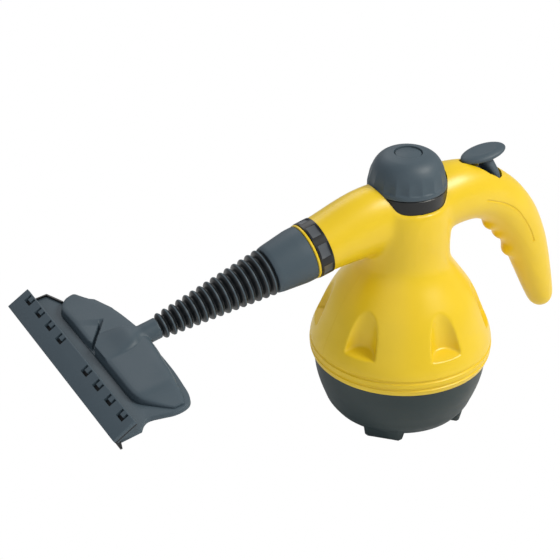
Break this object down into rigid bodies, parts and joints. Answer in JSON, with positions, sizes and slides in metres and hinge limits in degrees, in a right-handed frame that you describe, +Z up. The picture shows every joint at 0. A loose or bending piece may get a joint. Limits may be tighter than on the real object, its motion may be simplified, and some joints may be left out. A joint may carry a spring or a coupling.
{
  "type": "handheld steam cleaner",
  "caption": "Handheld steam cleaner with a round boiler body, pistol handle, filler cap and trigger, and a ribbed extension that ends in a wide window squeegee head.",
  "frame": {"origin": "middle of the part's length and width, on the floor under the rubber foot pads", "axes": "+Z up; +X from the squeegee head towards the handle; +Y across the part, away from the pictured side"},
  "size_m": [0.4378, 0.193, 0.2277],
  "materials": {
    "yellow_shell": "satin moulded yellow plastic",
    "slate_plastic": "fine-grained slate grey plastic",
    "base_grey": "fine-grained dark green-grey plastic",
    "black_plastic": "satin black plastic",
    "black_rubber": "matt black rubber",
    "silicone": "matt red silicone",
    "cast_aluminium": "as cast",
    "zinc_steel": "zinc plated",
    "turned_brass": "as turned",
    "white_tube": "smooth white heat-proof plastic"
  },
  "bodies": {
    "unit": {"housing_left": "yellow_shell", "housing_right": "yellow_shell", "housing_screw_1": "zinc_steel", "housing_screw_2": "zinc_steel", "housing_screw_3": "zinc_steel", "housing_screw_4": "zinc_steel", "housing_screw_5": "zinc_steel", "base": "base_grey", "foot_pad_1": "black_rubber", "foot_pad_2": "black_rubber", "foot_pad_3": "black_rubber", "foot_pad_4": "black_rubber", "cord_gland": "black_rubber", "boiler_lower": "cast_aluminium", "boiler_gasket": "silicone", "boiler_upper": "cast_aluminium", "boiler_neck": "turned_brass", "boiler_screw_1": "zinc_steel", "boiler_screw_2": "zinc_steel", "boiler_screw_3": "zinc_steel", "boiler_screw_4": "zinc_steel", "heating_element": "zinc_steel", "thermostat": "black_plastic", "thermal_fuse": "white_tube", "filler_collar": "black_plastic", "valve_body": "turned_brass", "steam_tube_in": "white_tube", "steam_tube_out": "white_tube", "nozzle_socket": "black_plastic", "steam_jet": "turned_brass", "trigger_pin": "zinc_steel"},
    "trigger_body": {"trigger": "slate_plastic"},
    "plunger_body": {"valve_plunger": "zinc_steel", "valve_spring": "zinc_steel"},
    "cap_seal_body": {"cap_gasket": "silicone"},
    "cap_body": {"cap_dome": "slate_plastic", "cap_plug": "black_plastic", "relief_spring": "zinc_steel"},
    "relief_body": {"relief_pin": "turned_brass"},
    "extension_body": {"lock_ring": "yellow_shell", "cuff": "slate_plastic", "seal_ring": "silicone", "ribbed_hose": "slate_plastic"},
    "head_body": {"head_shell": "slate_plastic", "head_base": "slate_plastic", "squeegee_plate": "slate_plastic", "blade_clip": "slate_plastic", "rubber_blade": "black_rubber", "head_screw_1": "zinc_steel", "head_screw_2": "zinc_steel"}
  },
  "joints": [
    {"name": "trigger_press", "type": "hinge", "parent": "unit", "child": "trigger_body", "pos_m": [0.11386, 0, 0.1935], "axis": [0, 1, 0], "range_deg": [0, 7], "stiffness_Nm_per_rad": 0.6, "springref_deg": -11.46},
    {"name": "valve_press", "type": "slide", "parent": "unit", "child": "plunger_body", "axis": [0, 0, -1], "range_m": [0, 0.0024], "deforming": ["valve_spring"]},
    {"name": "cap_turn", "type": "hinge", "parent": "cap_seal_body", "child": "cap_body", "pos_m": [0.07036, 0, 0.2012], "axis": [0, 0, 1], "range_deg": [0, 1980]},
    {"name": "cap_lift", "type": "slide", "parent": "unit", "child": "cap_seal_body", "axis": [0, 0, 1], "range_m": [0, 0.0168]},
    {"name": "relief_lift", "type": "slide", "parent": "cap_body", "child": "relief_body", "axis": [0, 0, 1], "range_m": [0, 0.0015], "stiffness_N_per_m": 1500, "springref_m": -0.012, "deforming": ["relief_spring"]},
    {"name": "extension_twist", "type": "hinge", "parent": "unit", "child": "extension_body", "pos_m": [-0.00564, 0, 0.1692], "axis": [-0.9732, 0, -0.23], "range_deg": [0, 35]},
    {"name": "head_turn", "type": "hinge", "parent": "extension_body", "child": "head_body", "pos_m": [-0.14004, 0, 0.13743], "axis": [-0.9732, 0, -0.23], "range_deg": [-90, 90]}
  ],
  "couplings": [
    {"joint": "valve_press", "follows": "trigger_press", "m_per_rad": 0.0165},
    {"joint": "cap_lift", "follows": "cap_turn", "m_per_rad": 0.00047746}
  ]
}
